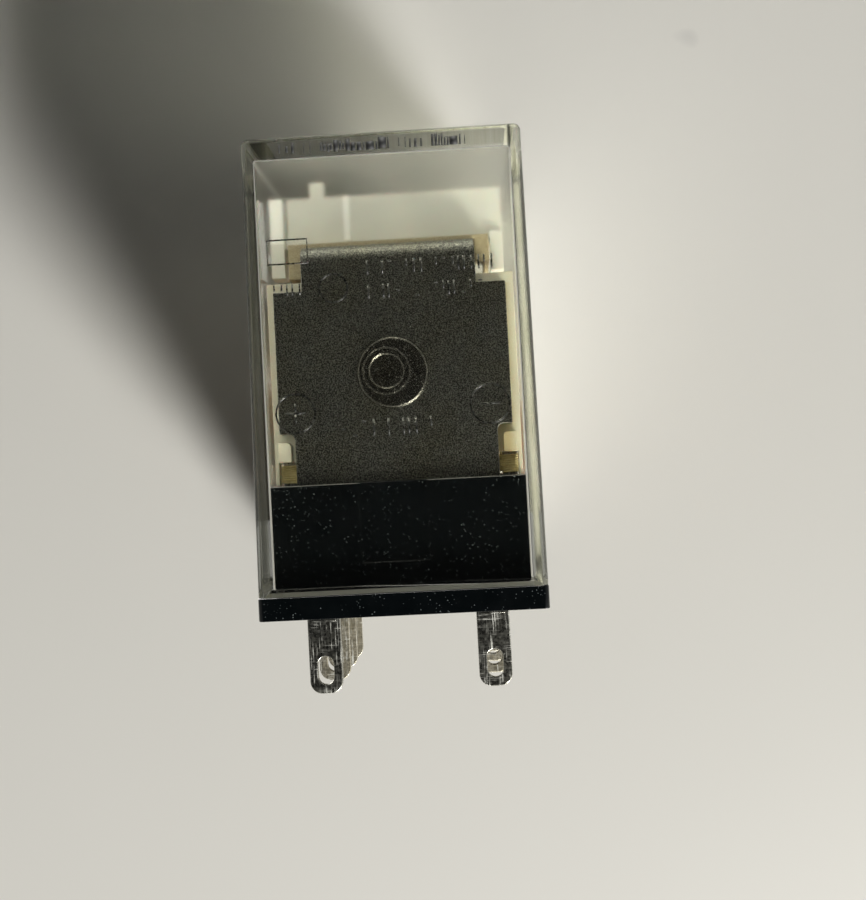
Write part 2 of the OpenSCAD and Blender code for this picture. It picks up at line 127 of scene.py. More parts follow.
def add_room():
    """A pale room. It is dark behind the photographer, where the case's front face mirrors it."""
    world = bpy.data.worlds.new("room")
    world.use_nodes = True
    tree = world.node_tree

    def mix(factor, a, b):
        made = tree.nodes.new("ShaderNodeMix")
        for socket, value in zip((made.inputs[0], made.inputs[2], made.inputs[3]), (factor, a, b)):
            if isinstance(value, bpy.types.NodeSocket):
                tree.links.new(value, socket)
            else:
                socket.default_value = value
        return made.outputs[0]

    direction = tree.nodes.new("ShaderNodeTexCoord").outputs["Generated"]
    toward = tree.nodes.new("ShaderNodeVectorMath")
    toward.operation = "DOT_PRODUCT"
    toward.inputs[1].default_value = (0, -1, 0)
    tree.links.new(direction, toward.inputs[0])
    fade = tree.nodes.new("ShaderNodeMapRange")
    fade.interpolation_type = "SMOOTHSTEP"
    fade.inputs["From Min"].default_value = 0.55
    fade.inputs["From Max"].default_value = 0.94
    tree.links.new(toward.outputs["Value"], fade.inputs["Value"])
    rays = tree.nodes.new("ShaderNodeLightPath").outputs
    mirrored = mix(fade.outputs["Result"], 0.36, 0.005)
    lit = mix(fade.outputs["Result"], 0.07, 0.03)
    background = tree.nodes["Background"]
    background.inputs["Color"].default_value = (0.97, 0.97, 0.93, 1)
    strength = mix(rays["Is Camera Ray"], mix(rays["Is Diffuse Ray"], mirrored, lit), 0.6)
    tree.links.new(strength, background.inputs["Strength"])
    bpy.context.scene.world = world


def add_lights():
    """One lamp stands for the window. Three weaker ones are linked to pieces that it leaves too dark."""
    middle = Vector((0, 0, 15 * MM))
    window = middle + 0.8 * Vector((0.505, -0.375, -0.778))
    add_area("window", window, middle, (0.2, 0.2), 13.8, (1.0, 0.985, 0.95))
    rear = add_area("rear_fill", (-0.3, 0.42, 0.3), middle, (0.5, 0.5), 4.5, (1.0, 0.98, 0.96))
    rear.light_linking.receiver_collection = SOLID_PIECES
    rear.light_linking.blocker_collection = SOLID_PIECES
    top = add_area("top_fill", (0, -0.03, 0.6), middle, (0.25, 0.25), 5.0, (1.0, 0.99, 0.94))
    top.light_linking.receiver_collection = SOLID_PIECES
    inner = add_area("inner_fill", (-0.12, -0.5, 0.2), middle, (0.3, 0.3), 2.05, (1.0, 0.99, 0.96))
    inner.light_linking.receiver_collection = PALE_PIECES
    add_room()
    scene = bpy.context.scene
    scene.view_settings.view_transform = "Standard"
    scene.cycles.max_bounces = 24
    scene.cycles.transmission_bounces = 24
    scene.cycles.sample_clamp_indirect = 4


def add_table():
    """The pale table that the relay lies on with its back. Seen from below it is transparent."""
    low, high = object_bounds()
    half = 0.6
    y = high[1] + 0.02 * MM
    corners = [(-half, y, -half), (half, y, -half), (half, y, half), (-half, y, half)]
    mesh = bpy.data.meshes.new("table")
    mesh.from_pydata(corners, [], [(0, 1, 2, 3)])
    table = bpy.data.objects.new("table", mesh)
    bpy.context.scene.collection.objects.link(table)
    shade = Shade("table_top")
    colour = shade.ramp(shade.noise(9, 3), (0.35, (0.67, 0.66, 0.62)), (0.7, (0.71, 0.70, 0.66)))
    speck = shade.ramp(shade.noise(90, 1), (0.17, (0.72, 0.72, 0.74)), (0.21, (1, 1, 1)))
    body = shade.principled(shade.multiply(colour, speck), roughness=0.42)
    open_side = shade.node("ShaderNodeBsdfTransparent")
    behind = shade.node("ShaderNodeNewGeometry").outputs["Backfacing"]
    shade.finish(shade.mix_shader(behind, body, open_side.outputs[0]))
    mesh.materials.append(shade.material)


# ---------------------------------------------------------------- material building blocks


class Shade:
    """A node material, built from short calls. Textures follow the piece, in metres."""

    def __init__(self, name):
        self.material = bpy.data.materials.new(name)
        self.material.use_nodes = True
        self.tree = self.material.node_tree
        self.tree.nodes.clear()
        self.place = self.node("ShaderNodeTexCoord").outputs["Object"]

    def node(self, kind, **inputs):
        made = self.tree.nodes.new(kind)
        for key, value in inputs.items():
            self.feed(made.inputs[key.replace("_", " ")], value)
        return made

    def feed(self, socket, value):
        if isinstance(value, bpy.types.NodeSocket):
            self.tree.links.new(value, socket)
        elif isinstance(value, tuple) and len(value) == 3 and socket.type == "RGBA":
            socket.default_value = (*value, 1)
        else:
            socket.default_value = value

    def stretched(self, scale):
        return self.node("ShaderNodeMapping", Vector=self.place, Scale=scale).outputs[0]

    def noise(self, scale, detail=2.0, rough=0.5, vector=None):
        made = self.node("ShaderNodeTexNoise", Scale=scale, Detail=detail, Roughness=rough)
        self.feed(made.inputs["Vector"], vector or self.place)
        return made.outputs["Fac"]

    def cells(self, scale, vector=None):
        made = self.node("ShaderNodeTexVoronoi", Scale=scale)
        self.feed(made.inputs["Vector"], vector or self.place)
        return made.outputs["Distance"]

    def ramp(self, value, *stops):
        """Colours or greys along value: each stop is (place, colour or grey)."""
        made = self.node("ShaderNodeValToRGB")
        self.feed(made.inputs["Fac"], value)
        band = made.color_ramp
        while len(band.elements) < len(stops):
            band.elements.new(0.5)
        for element, (where, tint) in zip(band.elements, stops):
            element.position = where
            element.color = (*tint, 1) if isinstance(tint, tuple) else (tint, tint, tint, 1)
        return made.outputs["Color"]

    def blend(self, share, a, b, mode="MIX"):
        made = self.node("ShaderNodeMix")
        made.data_type = "RGBA"
        made.blend_type = mode
        self.feed(made.inputs[0], share)
        self.feed(made.inputs[6], a)
        self.feed(made.inputs[7], b)
        return made.outputs[2]

    def math(self, work, a, b=0.0):
        made = self.node("ShaderNodeMath")
        made.operation = work
        self.feed(made.inputs[0], a)
        self.feed(made.inputs[1], b)
        return made.outputs[0]

    def multiply(self, a, b):
        return self.blend(1.0, a, b, "MULTIPLY")

    def bump(self, height, depth, strength=1.0):
        return self.node("ShaderNodeBump", Height=height, Distance=depth, Strength=strength).outputs[0]

    def mix_shader(self, share, a, b):
        made = self.node("ShaderNodeMixShader")
        self.feed(made.inputs[0], share)
        self.feed(made.inputs[1], a)
        self.feed(made.inputs[2], b)
        return made.outputs[0]

    def principled(self, colour, roughness, metal=0.0, normal=None, **more):
        made = self.node("ShaderNodeBsdfPrincipled", Roughness=roughness, Metallic=metal, **more)
        self.feed(made.inputs["Base Color"], colour)
        if normal is not None:
            self.feed(made.inputs["Normal"], normal)
        return made.outputs[0]

    def finish(self, surface):
        out = self.node("ShaderNodeOutputMaterial")
        self.feed(out.inputs["Surface"], surface)
        return self.material


BLOCK_TOP = 9.83 * MM        # the painted highlight lies above this height and before this Y, along the base block's upper front edge
BLOCK_FRONT = -12.53 * MM


def black_plastic():
    """Moulded black, with specks of dust and a painted highlight along the block's upper front edge."""
    s = Shade("black_plastic")
    colour = s.ramp(s.noise(500, 3), (0.3, (0.0012, 0.002, 0.0024)), (0.75, (0.0024, 0.0034, 0.004)))
    speck = s.ramp(s.cells(3900), (0.13, 1.0), (0.2, 0.0))
    sparse = s.ramp(s.noise(1600, 1, 0.5), (0.45, 0.0), (0.55, 1.0))
    dusty = s.ramp(s.noise(300, 3, 0.7), (0.4, 0.1), (0.62, 1.0))
    colour = s.blend(s.multiply(s.multiply(speck, sparse), dusty), colour, (0.16, 0.185, 0.185))
    x, y, z = s.node("ShaderNodeSeparateXYZ", Vector=s.place).outputs
    # painted highlight: a light grey line along the block's upper front edge
    wear_and_highlight = s.math("MULTIPLY", s.math("GREATER_THAN", z, BLOCK_TOP), s.math("LESS_THAN", y, BLOCK_FRONT))
    colour = s.blend(wear_and_highlight, colour, (0.16, 0.16, 0.15))
    rough = s.ramp(s.noise(900, 4), (0.3, 0.15), (0.75, 0.26))
    normal = s.bump(s.noise(9000, 2), 0.003 * MM, 0.5)
    return s.finish(s.principled(colour, rough, normal=normal, Specular_IOR_Level=0.4))


def zinc_plate(name, dark, light, rough, grain_depth):
    """Zinc plate on steel: a fine dull grain with a few crystals that scatter the lamp's light."""
    s = Shade(name)
    grain = s.noise(11500, 1, 0.6)
    tint = s.ramp(s.noise(260, 2), (0.35, (1, 1, 1)), (0.7, (1, 0.97, 0.86)))
    colour = s.multiply(s.ramp(grain, (0.42, dark), (0.66, light)), tint)
    crystal = s.multiply(
        s.ramp(s.cells(8200), (0.13, 1.0), (0.24, 0.0)), s.ramp(s.noise(3100, 1), (0.46, 0.0), (0.56, 1.0)),
    )
    colour = s.blend(crystal, colour, (0.5, 0.5, 0.45))
    gloss = s.ramp(s.noise(5000, 2), (0.35, rough - 0.04), (0.7, rough + 0.05))
    gloss = s.blend(crystal, gloss, (0.5, 0.5, 0.5))
    return s.finish(s.principled(colour, gloss, metal=1.0, normal=s.bump(grain, grain_depth, 0.8)))


def tinned_metal(name, dark, light, rough):
    """Tin plate on the blades, rolled along X, and scored both ways by a socket's springs."""
    s = Shade(name)
    rolled = s.noise(1, 2, 0.6, s.stretched((900, 900, 9500)))
    scored = s.ramp(s.noise(1, 1, 0.5, s.stretched((9500, 9500, 420))), (0.57, 0.0), (0.66, 1.0))
    rubbing_and_highlight = s.ramp(s.noise(1, 1, 0.5, s.stretched((800, 800, 11000))), (0.62, 0.0), (0.7, 0.8))
    wear_and_highlight = s.ramp(s.noise(1300, 2), (0.4, 0.15), (0.62, 1.0))
    score = s.multiply(s.blend(1.0, scored, rubbing_and_highlight, "LIGHTEN"), wear_and_highlight)
    cloud = s.ramp(s.noise(700, 3), (0.35, (0.86, 0.85, 0.8)), (0.7, (1, 1, 1)))
    colour = s.multiply(s.ramp(rolled, (0.36, dark), (0.66, light)), cloud)
    colour = s.blend(score, colour, (0.8, 0.8, 0.74))
    gloss = s.ramp(s.noise(5200, 3), (0.35, rough - 0.06), (0.7, rough + 0.1))
    gloss = s.blend(score, gloss, (0.6, 0.6, 0.6))
    return s.finish(s.principled(colour, gloss, metal=1.0, normal=s.bump(rolled, 0.004 * MM, 0.5)))


def bright_metal(name, colour, rough=0.25, grain=6000):
    """Clean plain metal with a light rolled grain."""
    s = Shade(name)
    streak = s.noise(1, 3, 0.6, s.stretched((grain, grain, grain / 12)))
    tint = s.ramp(streak, (0.3, tuple(0.8 * c for c in colour)), (0.7, colour))
    gloss = s.ramp(s.noise(3000, 3), (0.35, rough), (0.7, rough + 0.15))
    return s.finish(s.principled(tint, gloss, metal=1.0, normal=s.bump(streak, 0.006 * MM, 0.4)))


YOKE_SHADE_OUT, YOKE_SHADE_IN = 9.3 * MM, 8.5 * MM   # the bobbin's painted shade from the yoke deepens between these, going inwards
YOKE_SHADE_TOP = 24.6 * MM
# above this height the beam's front gets a painted highlight
CREST_LOW = 28.9 * MM


def soft_plastic(name, colour, shade_colour, rough=0.42, yoke_shade=None, crest=None):
    """Pale moulded plastic.

    Painted shade deepens it in amber towards the yoke's edge on the right. What lies before the Y given as
    crest gets a painted highlight.
    """
    s = Shade(name)
    cloud = s.noise(330, 3)
    tint = s.ramp(cloud, (0.3, shade_colour), (0.7, colour))
    if yoke_shade:
        # painted shade: an amber darkening on the right towards the yoke's edge, below the yoke's top
        x, _, z = s.node("ShaderNodeSeparateXYZ", Vector=s.place).outputs
        inward = s.node("ShaderNodeMapRange", Value=x, From_Min=YOKE_SHADE_OUT, From_Max=YOKE_SHADE_IN).outputs[0]
        inward = s.math("MULTIPLY", inward, s.math("GREATER_THAN", x, 6 * MM))
        low_down = s.math("LESS_THAN", z, YOKE_SHADE_TOP)
        tint = s.blend(s.math("MULTIPLY", inward, low_down), tint, yoke_shade)
    if crest:
        # painted highlight: the beam's front above CREST_LOW is painted lighter
        _, y, z = s.node("ShaderNodeSeparateXYZ", Vector=s.place).outputs
        rubbing_and_highlight = s.math("MULTIPLY", s.math("LESS_THAN", y, crest), s.math("GREATER_THAN", z, CREST_LOW))
        tint = s.blend(rubbing_and_highlight, tint, (0.88, 0.88, 0.82))
    gloss = s.ramp(s.noise(2600, 3), (0.3, rough - 0.08), (0.7, rough + 0.1))
    return s.finish(s.principled(
        tint, gloss, normal=s.bump(s.noise(7000, 2), 0.006 * MM, 0.4),
        Subsurface_Weight=0.18, Subsurface_Scale=0.6 * MM,
    ))


def amber_film():
    s = Shade("amber_film")
    colour = s.ramp(s.noise(420, 3), (0.3, (0.42, 0.22, 0.045)), (0.7, (0.6, 0.36, 0.09)))
    wrinkle = s.noise(1, 3, 0.55, s.stretched((900, 260, 900)))
    return s.finish(s.principled(
        colour, 0.22, normal=s.bump(wrinkle, 0.05 * MM, 0.5), Coat_Weight=0.6, Coat_Roughness=0.08,
    ))


def enamelled_wire():
    s = Shade("enamelled_wire")
    colour = s.ramp(s.noise(2400, 2), (0.3, (0.42, 0.34, 0.14)), (0.7, (0.62, 0.53, 0.25)))
    return s.finish(s.principled(colour, 0.36, metal=0.1, Coat_Weight=0.5, Coat_Roughness=0.2))


def brown_sheet():
    s = Shade("brown_sheet")
    fibre = s.noise(4200, 3, 0.6)
    colour = s.ramp(fibre, (0.3, (0.27, 0.22, 0.115)), (0.7, (0.4, 0.34, 0.2)))
    return s.finish(s.principled(colour, 0.5, normal=s.bump(fibre, 0.008 * MM, 0.5)))


def copper_braid():
    s = Shade("copper_braid")
    colour = s.ramp(s.noise(3600, 3), (0.3, (0.42, 0.15, 0.07)), (0.7, (0.78, 0.36, 0.2)))
    return s.finish(s.principled(colour, 0.3, metal=1.0))


MIST_LOW, MIST_HIGH = 25 * MM, 29 * MM
RIM_HIGH = 0.3     # the frosted foot of the walls, in millimetres above the foot and out from the cavity
RIM_WIDE = 0.62


def clear_plastic():
    """Clear moulding, misty high inside its front, frosted on its ceiling and tinted on its edges."""
    s = Shade("clear_plastic")
    x, y, z = s.node("ShaderNodeSeparateXYZ", Vector=s.place).outputs
    aside = s.math("ABSOLUTE", x)
    deep = s.math("ABSOLUTE", y)

    def within(across, along, height):
        """1 where the surface lies inside a box round the cavity, given as margins on the cavity's size."""
        test = s.math("LESS_THAN", aside, CAVITY_HALF.x + across * MM)
        test = s.math("MULTIPLY", test, s.math("LESS_THAN", deep, CAVITY_HALF.y + along * MM))
        return s.math("MULTIPLY", test, s.math("LESS_THAN", z, CAVITY_TOP + height * MM))

    rough = s.ramp(s.noise(700, 3), (0.35, 0.05), (0.7, 0.08))
    scratch = s.ramp(s.noise(1, 3, 0.6, s.stretched((5200, 5200, 90))), (0.70, 0.0), (0.78, 1.0))
    rough = s.blend(scratch, rough, (0.19, 0.19, 0.19))
    high = s.node("ShaderNodeMapRange", Value=z, From_Min=MIST_LOW, From_Max=MIST_HIGH).outputs[0]
    mist = s.math("MULTIPLY", within(-0.3, 0.3, -0.3), high)
    rough = s.blend(mist, rough, (0.23, 0.23, 0.23))
    lining = within(0.2, -0.3, 0.2)
    rough = s.blend(lining, rough, (0.17, 0.17, 0.17))
    ceiling = s.math("MULTIPLY", lining, s.math("GREATER_THAN", z, CAVITY_TOP - 0.3 * MM))
    rough = s.blend(ceiling, rough, (0.55, 0.55, 0.55))
    drawn = s.noise(1, 3, 0.6, s.stretched((3600, 3600, 160)))
    streak = s.ramp(drawn, (0.36, (0.66, 0.67, 0.52)), (0.66, (0.93, 0.935, 0.84)))
    outside = s.math("GREATER_THAN", aside, CAVITY_HALF.x)
    edge = s.math("MAXIMUM", outside, s.math("GREATER_THAN", z, CAVITY_TOP))
    edge = s.math("MULTIPLY", edge, s.math("GREATER_THAN", deep, CAVITY_HALF.y + 0.3 * MM))
    post = s.math("MULTIPLY", edge, outside)
    rough = s.blend(post, rough, (0.13, 0.13, 0.13))
    colour = s.blend(edge, (0.97, 0.97, 0.93), streak)
    at_foot = s.math("LESS_THAN", z, LOW_COVER.z + RIM_HIGH * MM)
    rim = s.math("MULTIPLY", within(RIM_WIDE, RIM_WIDE, 0), at_foot)
    rough = s.blend(rim, rough, (0.5, 0.5, 0.5))
    colour = s.blend(rim, colour, (0.5, 0.5, 0.38))
    haze = s.math("MAXIMUM", s.math("MULTIPLY", rim, 0.6), s.math("MULTIPLY", post, 0.05))
    clear = s.math("SUBTRACT", 1.0, haze)
    body = s.principled(colour, rough, Transmission_Weight=clear, IOR=1.58)
    lamp_way = s.node("ShaderNodeBsdfTransparent", Color=(0.68, 0.68, 0.65))
    lamps = s.node("ShaderNodeLightPath").outputs["Is Shadow Ray"]
    return s.finish(s.mix_shader(lamps, body, lamp_way.outputs[0]))


def dark_painted_line():
    """The raised lines of the cover, tinted nearly black: painted shade for the light their slopes turn
    aside, so they read as thin dark lines.
    """
    s = Shade("dark_painted_line")
    rough = s.ramp(s.noise(5000, 3), (0.35, 0.2), (0.7, 0.4))
    # painted shade: the clear lines are tinted nearly black
    body = s.principled((0.06, 0.06, 0.05), rough, Transmission_Weight=1.0, IOR=1.36)
    lamp_way = s.node("ShaderNodeBsdfTransparent", Color=(0.7, 0.7, 0.66))
    lamps = s.node("ShaderNodeLightPath").outputs["Is Shadow Ray"]
    return s.finish(s.mix_shader(lamps, body, lamp_way.outputs[0]))


def print_ink():
    s = Shade("print_ink")
    colour = s.ramp(s.noise(2600, 3), (0.35, (0.008, 0.009, 0.01)), (0.7, (0.03, 0.03, 0.03)))
    return s.finish(s.principled(colour, 0.6))


# the beam's painted highlight lies before this Y
BEAM_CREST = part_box("arc_barrier")[0].y + 0.45 * MM
MATERIALS = {
    "black_plastic": black_plastic(),
    "clear_plastic": clear_plastic(),
    "terminal_metal": tinned_metal("terminal_metal", (0.42, 0.39, 0.31), (0.6, 0.56, 0.46), 0.45),
    "contact_silver": bright_metal("contact_silver", (0.86, 0.85, 0.82), 0.22),
    "plated_steel": zinc_plate(
        "plated_steel", (0.042, 0.043, 0.041), (0.34, 0.34, 0.3), 0.36, 0.03 * MM,
    ),
    "cream_plastic": soft_plastic(
        # the amber colour is painted shade from the yoke's edge
        "cream_plastic", (0.53, 0.51, 0.39), (0.45, 0.435, 0.33), yoke_shade=(0.4, 0.33, 0.17),
    ),
    "enamelled_wire": enamelled_wire(),
    "amber_tape": amber_film(),
    "brown_sheet": brown_sheet(),
    "white_plastic": soft_plastic(
        # crest paints a highlight on the beam's front
        "white_plastic", (0.66, 0.66, 0.58), (0.57, 0.575, 0.51), crest=BEAM_CREST,
    ),
    "spring_steel": bright_metal("spring_steel", (0.66, 0.65, 0.62), 0.24),
    "spring_bronze": bright_metal("spring_bronze", (0.74, 0.47, 0.24), 0.26),
    "copper_braid": copper_braid(),
}


# ---------------------------------------------------------------- mesh building blocks


CORNERS = ((-1, -1), (1, -1), (1, 1), (-1, 1))     # once round a square


def place_piece(name, mesh, body, slot, *stands_for):
    """Puts a mesh in the scene as a piece that rides on body and stands for CAD nodes."""
    piece = bpy.data.objects.new(name, mesh)
    bpy.context.scene.collection.objects.link(piece)
    if slot != "clear_plastic":
        SOLID_PIECES.objects.link(piece)
    mesh.materials.clear()
    mesh.materials.append(MATERIALS[slot])
    for face in mesh.polygons:
        face.use_smooth = True
    if body:
        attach(piece, body)
    if stands_for:
        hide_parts(*stands_for)
    return piece


def bake_modifiers(piece):
    """Turns what the modifiers show into the piece's own mesh."""
    bpy.context.view_layer.update()
    seen = piece.evaluated_get(bpy.context.evaluated_depsgraph_get())
    mesh = bpy.data.meshes.new_from_object(seen)
    piece.modifiers.clear()
    piece.data = mesh
    return piece


def soften_edges(piece, width, steps=2, angle=30):
    """Rounds the sharp edges and keeps the flat faces flat."""
    bevel = piece.modifiers.new("bevel", "BEVEL")
    bevel.width = width
    bevel.segments = steps
    bevel.limit_method = "ANGLE"
    bevel.angle_limit = math.radians(angle)
    bevel.use_clamp_overlap = True
    weigh = piece.modifiers.new("normals", "WEIGHTED_NORMAL")
    weigh.weight = 100
    weigh.keep_sharp = True
    return bake_modifiers(piece)


def cut_away(piece, name, cutter):
    """Takes the cutter's shape out of the piece."""
    tool = bpy.data.objects.new(name, to_mesh(cutter, name))
    bpy.context.scene.collection.objects.link(tool)
    cut = piece.modifiers.new(name, "BOOLEAN")
    cut.operation = "DIFFERENCE"
    cut.solver = "EXACT"
    cut.object = tool
    bake_modifiers(piece)
    bpy.data.objects.remove(tool)


def polish(node, width, steps=2, angle=30, ride=True):
    """A CAD node's own shape with softened edges and its material."""
    mesh = frame["nodes"][node].data.copy()
    bm = bmesh.new()
    bm.from_mesh(mesh)
    bmesh.ops.remove_doubles(bm, verts=bm.verts, dist=0.5e-6)
    bmesh.ops.dissolve_limit(bm, angle_limit=math.radians(0.6), verts=bm.verts, edges=bm.edges)
    bm.to_mesh(mesh)
    bm.free()
    piece = place_piece(node + "_shape", mesh, BODY_OF[node] if ride else None, SLOT_OF[node], node)
    return soften_edges(piece, width, steps, angle)


def revolve(profile, x, z, steps=96):
    """A closed ring or disc turned round an axis along Y through (x, z). The profile is (radius, y) pairs."""
    bm = bmesh.new()
    rings = []
    for radius, y in profile:
        if radius <= 0:
            rings.append([bm.verts.new((x, y, z))])
            continue
        turn = [2 * math.pi * k / steps for k in range(steps)]
        rings.append([bm.verts.new((x + radius * math.cos(a), y, z + radius * math.sin(a))) for a in turn])
    for one, two in zip(rings, rings[1:]):
        for k in range(steps):
            n = (k + 1) % steps
            corners = [one[k % len(one)], one[n % len(one)], two[n % len(two)], two[k % len(two)]]
            unique = list(dict.fromkeys(corners))
            if len(unique) > 2:
                bm.faces.new(unique)
    return bm


def add_box(bm, low, high):
    """A box given by its low and high corners, added to bm."""
    size = high - low
    for v in bmesh.ops.create_cube(bm, size=1)["verts"]:
        v.co = low + Vector(((v.co[i] + 0.5) * size[i] for i in range(3)))
    return bm


def to_mesh(bm, name):
    mesh = bpy.data.meshes.new(name)
    bmesh.ops.recalc_face_normals(bm, faces=bm.faces)
    bm.to_mesh(mesh)
    bm.free()
    return mesh


def add_tube(bm, path, radius, sides=8, closed=False):
    """A tube along a path, with no twist, added to bm."""
    count = len(path)
    side = None
    rings = []
    for k, point in enumerate(path):
        before = path[k - 1] if k > 0 or closed else path[k]
        after = path[(k + 1) % count] if k < count - 1 or closed else path[k]
        ahead = (after - before).normalized()
        if side is None:
            side = ahead.orthogonal().normalized()
        side = (side - ahead * side.dot(ahead)).normalized()
        other = ahead.cross(side)
        r = radius(k / (count - 1)) if callable(radius) else radius
        turn = [2 * math.pi * s / sides for s in range(sides)]
        rings.append([bm.verts.new(point + r * (math.cos(a) * side + math.sin(a) * other)) for a in turn])
    pairs = list(zip(rings, rings[1:])) + ([(rings[-1], rings[0])] if closed else [])
    for one, two in pairs:
        for s in range(sides):
            n = (s + 1) % sides
            bm.faces.new((one[s], one[n], two[n], two[s]))
    if not closed:
        bm.faces.new(rings[0][::-1])
        bm.faces.new(rings[-1])


def smooth_path(points, per_span=8):
    """A Catmull-Rom curve through the points."""
    p = [points[0] * 2 - points[1], *points, points[-1] * 2 - points[-2]]
    path = []
    for k in range(1, len(p) - 2):
        for j in range(per_span):
            t = j / per_span
            path.append(0.5 * (
                2 * p[k] + t * (p[k + 1] - p[k - 1])
                + t * t * (2 * p[k - 1] - 5 * p[k] + 4 * p[k + 1] - p[k + 2])
                + t ** 3 * (3 * p[k] - p[k - 1] - 3 * p[k + 1] + p[k + 2])
            ))
    return path + [points[-1]]


# ---------------------------------------------------------------- the clear cover

COVER_DRAFT = 0.27 * MM
LEAD_IN = 0.6 * MM
EDGE_R = 0.5 * MM
LATCH_ROWS = (-7 * MM, 7 * MM)          # the base's ledges run in blind grooves inside the side walls
LATCH_HALF = 1.15 * MM
GROOVE_DEEP = 0.36 * MM
GROOVE_TOP = 6.9 * MM


def front_of_cover(z):
    """Y of the cover's leaning front face at height z."""
    share = (z - LOW_COVER.z) / (HIGH_COVER.z - LOW_COVER.z)
    return LOW_COVER.y + COVER_DRAFT * share


def bevel_where(bm, test, width, steps):
    """Rounds the edges that pass the test."""
    edges = [e for e in bm.edges if test(e)]
    bmesh.ops.bevel(
        bm, geom=edges, offset=width, segments=steps, profile=0.5, affect="EDGES", clamp_overlap=True,
    )


def shell_box(bm, low_half, high_half, z_low, z_high):
    """Five faces of a leaning box, open below. Gives its bottom corners."""
    bottom = [bm.verts.new((x * low_half.x, y * low_half.y, z_low)) for x, y in CORNERS]
    top = [bm.verts.new((x * high_half.x, y * high_half.y, z_high)) for x, y in CORNERS]
    for k in range(4):
        n = (k + 1) % 4
        bm.faces.new((bottom[k], bottom[n], top[n], top[k]))
    bm.faces.new(top)
    return bottom


def tick_row(stroke, seed, start, end, z, height):
    """A row of plain upright ticks and level dashes, no two of them touching."""
    rng = random.Random(seed)
    x = start
    while x < end:
        if rng.random() < 0.3:
            level = z + rng.choice((0.1, 0.5, 0.9)) * height
            stroke(x, level, x + 0.3, level)
            x += 0.3
        else:
            short = rng.choice((0, 0, 0.45))
            stroke(x, z + short * height, x, z + height)
        x += rng.choice((0.4, 0.55, 0.55, 1.1))


def ridge_marks():
    """Raised lines on the front face: a plus and a minus in rings, a plain frame, a ring and plain ticks."""
    bm = bmesh.new()
    line_r = 0.068 * MM

    def at(x, z):
        z *= MM
        return Vector((x * MM, front_of_cover(z) + 0.015 * MM, z))

    def ring(x, z, r):
        turn = [2 * math.pi * k / 40 for k in range(40)]
        add_tube(bm, [at(x + r * math.cos(a), z + r * math.sin(a)) for a in turn], line_r, 8, closed=True)

    def stroke(x0, z0, x1, z1):
        add_tube(bm, [at(x0, z0), at(x1, z1)], line_r, 8)

    polarity_z = 15.25
    ring(-7.25, polarity_z, 1.45)
    stroke(-8.0, polarity_z, -6.5, polarity_z)
    stroke(-7.25, polarity_z - 0.75, -7.25, polarity_z - line_r / MM - 0.02)
    stroke(-7.25, polarity_z + line_r / MM + 0.02, -7.25, polarity_z + 0.75)
    ring(7.15, polarity_z, 1.45)
    stroke(6.4, polarity_z, 7.9, polarity_z)
    ring(-4.0, 24.4, 1.05)
    corners = [(-8.8, 26.4), (-5.8, 26.4), (-5.8, 28.2), (-8.8, 28.2)]
    add_tube(bm, [at(*c) for c in corners], line_r, 8, closed=True)
    tick_row(stroke, 5, -8.4, -6.2, 24.0, 0.85)
    tick_row(stroke, 6, -1.4, 8.2, 25.25, 1.05)
    tick_row(stroke, 7, -1.4, 7.2, 23.45, 1.05)
    tick_row(stroke, 8, -3.9, 3.0, 13.25, 1.3)
    return to_mesh(bm, "ridges")


def cut_latch_grooves(cover):
    """Cuts the blind grooves that the base's latch ledges run in."""
    grooves = bmesh.new()
    for side in (-1, 1):
        for y in LATCH_ROWS:
            ends = sorted((side * (CAVITY_HALF.x - 0.5 * MM), side * (CAVITY_HALF.x + GROOVE_DEEP)))
            add_box(
                grooves, Vector((ends[0], y - LATCH_HALF, LOW_COVER.z - 1 * MM)),
                Vector((ends[1], y + LATCH_HALF, GROOVE_TOP)),
            )
    cut_away(cover, "grooves", grooves)


